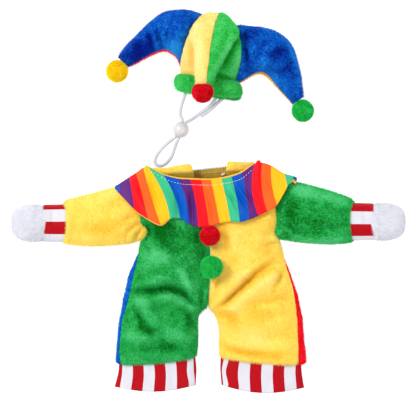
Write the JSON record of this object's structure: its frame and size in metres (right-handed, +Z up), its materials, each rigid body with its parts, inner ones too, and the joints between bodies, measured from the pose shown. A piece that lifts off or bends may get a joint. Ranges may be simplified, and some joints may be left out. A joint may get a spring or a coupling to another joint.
{
  "type": "pet clown costume",
  "caption": "Plush pet clown costume laid flat: a jumpsuit with stuffed arms, striped hems and a ruffled rainbow collar, and a horned jester hat with pompoms and an elastic chin cord.",
  "frame": {"origin": "middle of the footprint of the suit and hat on the surface that they lie on", "axes": "+Z up from the surface, +Y from the hems towards the hat, +X towards the green sleeve"},
  "size_m": [0.414, 0.4014, 0.0629],
  "materials": {
    "green_plush": "short plush",
    "yellow_plush": "short plush",
    "blue_plush": "short plush",
    "red_plush": "short plush",
    "white_plush": "short plush",
    "striped_satin": "satin, red and white stripes",
    "rainbow_satin": "satin, rainbow stripes",
    "yellow_lining": "brushed lining",
    "red_pompom": "dense cut pile",
    "green_pompom": "dense cut pile",
    "yellow_pompom": "dense cut pile",
    "white_elastic": "braided round elastic",
    "white_bead": "moulded, glossy"
  },
  "bodies": {
    "root": {"front_green": "green_plush", "front_yellow": "yellow_plush", "back_blue": "blue_plush", "back_red": "red_plush", "hem_left": "striped_satin", "hem_right": "striped_satin", "sleeve_yellow": "yellow_plush", "sleeve_green": "green_plush", "wrist_cuff_left": "striped_satin", "wrist_cuff_right": "striped_satin", "mitt_left": "white_plush", "mitt_right": "white_plush", "collar_satin": "rainbow_satin", "collar_lining": "yellow_lining", "tab_left": "yellow_plush", "tab_right": "yellow_plush", "neck_back": "yellow_lining", "horn_left_front": "blue_plush", "horn_left_back": "red_plush", "horn_right_front": "blue_plush", "horn_right_back": "yellow_plush", "crown_yellow": "yellow_plush", "crown_green": "green_plush", "crown_back_red": "red_plush", "crown_back_yellow": "yellow_plush", "peak_yellow": "yellow_plush", "peak_green": "green_plush", "brim": "green_plush", "pompom_chest_red": "red_pompom", "pompom_chest_green": "green_pompom", "pompom_hat_left": "yellow_pompom", "pompom_hat_right": "green_pompom", "pompom_hat_front": "red_pompom", "chin_cord": "white_elastic", "chin_cord_tail": "white_elastic", "bead": "white_bead"}
  },
  "joints": []
}
